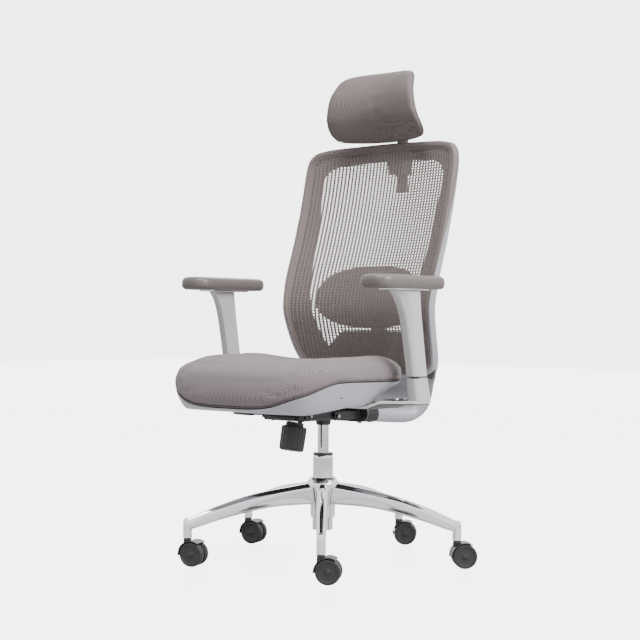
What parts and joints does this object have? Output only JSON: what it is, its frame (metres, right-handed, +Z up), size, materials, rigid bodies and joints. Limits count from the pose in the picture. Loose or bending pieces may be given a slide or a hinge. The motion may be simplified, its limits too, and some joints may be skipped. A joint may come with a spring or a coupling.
{
  "type": "office chair",
  "caption": "High-back mesh swivel chair with tilting headrest, height-adjustable arms, synchronised recline and a five-star base on twin-wheel casters.",
  "frame": {"origin": "on the floor, under the middle of the chair's outline", "axes": "+Z up; the sitter faces -Y and the sitter's left hand is at +X"},
  "size_m": [0.723, 0.7483, 1.254],
  "materials": {
    "polished_aluminium": "die-cast and polished",
    "chromed_steel": "bright chrome plate",
    "plain_steel": "turned or drawn, oiled",
    "black_nylon": "moulded, fine texture",
    "black_painted_steel": "powder coat on pressed sheet",
    "grey_tread": "soft urethane tread",
    "light_grey_plastic": "moulded, satin to gloss",
    "taupe_plastic": "moulded, matt",
    "taupe_mesh": "open knitted net",
    "grey_knit": "fine knit over foam",
    "taupe_urethane": "integral-skin urethane",
    "moulded_plywood": "raw plywood"
  },
  "bodies": {
    "base": {"base_star": "polished_aluminium", "column_tube": "chromed_steel", "guide_bush": "black_nylon", "thrust_bearing": "plain_steel"},
    "swivel_post": {"piston_rod": "plain_steel"},
    "lift": {"pressure_tube": "chromed_steel", "mechanism_housing": "black_painted_steel", "recline_shaft": "plain_steel", "seat_pivot_pin": "plain_steel", "tension_spring": "plain_steel"},
    "release_pin": {"release_pin": "plain_steel"},
    "height_lever": {"height_lever": "black_nylon"},
    "tilt_lever": {"tilt_lever": "black_nylon"},
    "tension_knob": {"tension_knob": "black_nylon"},
    "back": {"back_bracket": "black_painted_steel", "back_frame": "light_grey_plastic", "mesh_frame": "taupe_plastic", "mesh_panel": "taupe_mesh", "headrest_holder": "light_grey_plastic"},
    "seat": {"seat_carrier": "black_painted_steel", "seat_pan": "light_grey_plastic", "seat_board": "moulded_plywood", "seat_cushion": "grey_knit", "arm_bracket_left": "light_grey_plastic", "arm_bracket_right": "light_grey_plastic", "arm_post_left": "plain_steel", "arm_post_right": "plain_steel"},
    "lumbar": {"lumbar_carrier": "taupe_plastic", "lumbar_pad": "taupe_plastic"},
    "headrest_post": {"headrest_post": "light_grey_plastic"},
    "headrest": {"headrest_shell": "light_grey_plastic", "headrest_cushion": "grey_knit"},
    "arm_left": {"arm_sleeve_left": "light_grey_plastic"},
    "arm_button_left": {"arm_button_left": "chromed_steel"},
    "arm_plate_left": {"arm_plate_left": "chromed_steel"},
    "arm_pad_left": {"arm_pad_left": "taupe_urethane"},
    "arm_right": {"arm_sleeve_right": "light_grey_plastic"},
    "arm_button_right": {"arm_button_right": "chromed_steel"},
    "arm_plate_right": {"arm_plate_right": "chromed_steel"},
    "arm_pad_right": {"arm_pad_right": "taupe_urethane"},
    "caster_1_fork": {"caster_1_body": "black_nylon", "caster_1_axle": "plain_steel"},
    "caster_1_wheel_a": {"caster_1_wheel_a": "grey_tread"},
    "caster_1_wheel_b": {"caster_1_wheel_b": "grey_tread"},
    "caster_2_fork": {"caster_2_body": "black_nylon", "caster_2_axle": "plain_steel"},
    "caster_2_wheel_a": {"caster_2_wheel_a": "grey_tread"},
    "caster_2_wheel_b": {"caster_2_wheel_b": "grey_tread"},
    "caster_3_fork": {"caster_3_body": "black_nylon", "caster_3_axle": "plain_steel"},
    "caster_3_wheel_a": {"caster_3_wheel_a": "grey_tread"},
    "caster_3_wheel_b": {"caster_3_wheel_b": "grey_tread"},
    "caster_4_fork": {"caster_4_body": "black_nylon", "caster_4_axle": "plain_steel"},
    "caster_4_wheel_a": {"caster_4_wheel_a": "grey_tread"},
    "caster_4_wheel_b": {"caster_4_wheel_b": "grey_tread"},
    "caster_5_fork": {"caster_5_body": "black_nylon", "caster_5_axle": "plain_steel"},
    "caster_5_wheel_a": {"caster_5_wheel_a": "grey_tread"},
    "caster_5_wheel_b": {"caster_5_wheel_b": "grey_tread"}
  },
  "joints": [
    {"name": "seat_swivel", "type": "hinge", "parent": "base", "child": "swivel_post", "pos_m": [-0.0075, -0.0141, 0.1], "axis": [0, 0, 1], "continuous": true},
    {"name": "seat_height", "type": "slide", "parent": "swivel_post", "child": "lift", "axis": [0, 0, 1], "range_m": [-0.065, 0.035]},
    {"name": "height_lever_lift", "type": "hinge", "parent": "lift", "child": "height_lever", "pos_m": [-0.0705, -0.0141, 0.3795], "axis": [0, 1, 0], "range_deg": [0, 3.15], "stiffness_Nm_per_rad": 2, "springref_deg": -2.86},
    {"name": "release_pin_press", "type": "slide", "parent": "lift", "child": "release_pin", "axis": [0, 0, 1], "range_m": [-0.0035, 0]},
    {"name": "tilt_lever_turn", "type": "hinge", "parent": "lift", "child": "tilt_lever", "pos_m": [-0.0725, -0.0991, 0.368], "axis": [-1, 0, 0], "range_deg": [0, 12]},
    {"name": "tension_knob_turn", "type": "hinge", "parent": "lift", "child": "tension_knob", "pos_m": [-0.0075, -0.1211, 0.3555], "axis": [0, 0.2011, 0.9796], "continuous": true},
    {"name": "back_recline", "type": "hinge", "parent": "lift", "child": "back", "pos_m": [-0.0075, -0.0441, 0.3645], "axis": [-1, 0, 0], "range_deg": [0, 20], "stiffness_Nm_per_rad": 120, "springref_deg": -34.38},
    {"name": "seat_tilt", "type": "hinge", "parent": "lift", "child": "seat", "pos_m": [-0.0075, -0.1491, 0.369], "axis": [-1, 0, 0], "range_deg": [0, 7]},
    {"name": "lumbar_height", "type": "slide", "parent": "back", "child": "lumbar", "axis": [0, -0.1227, 0.9924], "range_m": [-0.018, 0.018]},
    {"name": "headrest_height", "type": "slide", "parent": "back", "child": "headrest_post", "axis": [0, 0, 1], "range_m": [0, 0.05]},
    {"name": "headrest_tilt", "type": "hinge", "parent": "headrest_post", "child": "headrest", "pos_m": [-0.0075, 0.2779, 1.155], "axis": [-1, 0, 0], "range_deg": [-4, 24]},
    {"name": "arm_height_left", "type": "slide", "parent": "seat", "child": "arm_left", "axis": [0, -0.1819, 0.9833], "range_m": [0, 0.07]},
    {"name": "arm_button_press_left", "type": "slide", "parent": "arm_left", "child": "arm_button_left", "axis": [0, -1, 0], "range_m": [0, 0.003], "stiffness_N_per_m": 400, "springref_m": -0.0015},
    {"name": "arm_swivel_left", "type": "hinge", "parent": "arm_left", "child": "arm_plate_left", "pos_m": [0.2845, -0.06659, 0.6723], "axis": [0, 0, 1], "range_deg": [-15, 15]},
    {"name": "arm_pad_slide_left", "type": "slide", "parent": "arm_plate_left", "child": "arm_pad_left", "axis": [0, 1, 0], "range_m": [-0.025, 0.025]},
    {"name": "arm_height_right", "type": "slide", "parent": "seat", "child": "arm_right", "axis": [0, -0.1819, 0.9833], "range_m": [0, 0.07]},
    {"name": "arm_button_press_right", "type": "slide", "parent": "arm_right", "child": "arm_button_right", "axis": [0, -1, 0], "range_m": [0, 0.003], "stiffness_N_per_m": 400, "springref_m": -0.0015},
    {"name": "arm_swivel_right", "type": "hinge", "parent": "arm_right", "child": "arm_plate_right", "pos_m": [-0.2995, -0.06659, 0.6723], "axis": [0, 0, 1], "range_deg": [-15, 15]},
    {"name": "arm_pad_slide_right", "type": "slide", "parent": "arm_plate_right", "child": "arm_pad_right", "axis": [0, 1, 0], "range_m": [-0.025, 0.025]},
    {"name": "caster_1_swivel", "type": "hinge", "parent": "base", "child": "caster_1_fork", "pos_m": [0.21102, -0.28107, 0.08], "axis": [0, 0, 1], "continuous": true},
    {"name": "caster_1_roll_a", "type": "hinge", "parent": "caster_1_fork", "child": "caster_1_wheel_a", "pos_m": [0.22631, -0.27159, 0.03], "axis": [-0.527, 0.8499, 0], "continuous": true},
    {"name": "caster_1_roll_b", "type": "hinge", "parent": "caster_1_fork", "child": "caster_1_wheel_b", "pos_m": [0.22631, -0.27159, 0.03], "axis": [-0.527, 0.8499, 0], "continuous": true},
    {"name": "caster_2_swivel", "type": "hinge", "parent": "base", "child": "caster_2_fork", "pos_m": [0.31393, 0.11122, 0.08], "axis": [0, 0, 1], "continuous": true},
    {"name": "caster_2_roll_a", "type": "hinge", "parent": "caster_2_fork", "child": "caster_2_wheel_a", "pos_m": [0.32671, 0.12391, 0.03], "axis": [-0.7046, 0.7096, 0], "continuous": true},
    {"name": "caster_2_roll_b", "type": "hinge", "parent": "caster_2_fork", "child": "caster_2_wheel_b", "pos_m": [0.32671, 0.12391, 0.03], "axis": [-0.7046, 0.7096, 0], "continuous": true},
    {"name": "caster_3_swivel", "type": "hinge", "parent": "base", "child": "caster_3_fork", "pos_m": [-0.02736, 0.33033, 0.08], "axis": [0, 0, 1], "continuous": true},
    {"name": "caster_3_roll_a", "type": "hinge", "parent": "caster_3_fork", "child": "caster_3_wheel_a", "pos_m": [-0.01258, 0.3406, 0.03], "axis": [-0.5707, 0.8211, 0], "continuous": true},
    {"name": "caster_3_roll_b", "type": "hinge", "parent": "caster_3_fork", "child": "caster_3_wheel_b", "pos_m": [-0.01258, 0.3406, 0.03], "axis": [-0.5707, 0.8211, 0], "continuous": true},
    {"name": "caster_4_swivel", "type": "hinge", "parent": "base", "child": "caster_4_fork", "pos_m": [-0.34121, 0.07345, 0.08], "axis": [0, 0, 1], "continuous": true},
    {"name": "caster_4_roll_a", "type": "hinge", "parent": "caster_4_fork", "child": "caster_4_wheel_a", "pos_m": [-0.3238, 0.07804, 0.03], "axis": [-0.2554, 0.9668, 0], "continuous": true},
    {"name": "caster_4_roll_b", "type": "hinge", "parent": "caster_4_fork", "child": "caster_4_wheel_b", "pos_m": [-0.3238, 0.07804, 0.03], "axis": [-0.2554, 0.9668, 0], "continuous": true},
    {"name": "caster_5_swivel", "type": "hinge", "parent": "base", "child": "caster_5_fork", "pos_m": [-0.19388, -0.30442, 0.08], "axis": [0, 0, 1], "continuous": true},
    {"name": "caster_5_roll_a", "type": "hinge", "parent": "caster_5_fork", "child": "caster_5_wheel_a", "pos_m": [-0.17674, -0.29892, 0.03], "axis": [-0.3057, 0.9521, 0], "continuous": true},
    {"name": "caster_5_roll_b", "type": "hinge", "parent": "caster_5_fork", "child": "caster_5_wheel_b", "pos_m": [-0.17674, -0.29892, 0.03], "axis": [-0.3057, 0.9521, 0], "continuous": true}
  ],
  "couplings": [
    {"joint": "seat_tilt", "follows": "back_recline", "ratio": 0.35},
    {"joint": "release_pin_press", "follows": "height_lever_lift", "m_per_rad": -0.0635}
  ]
}
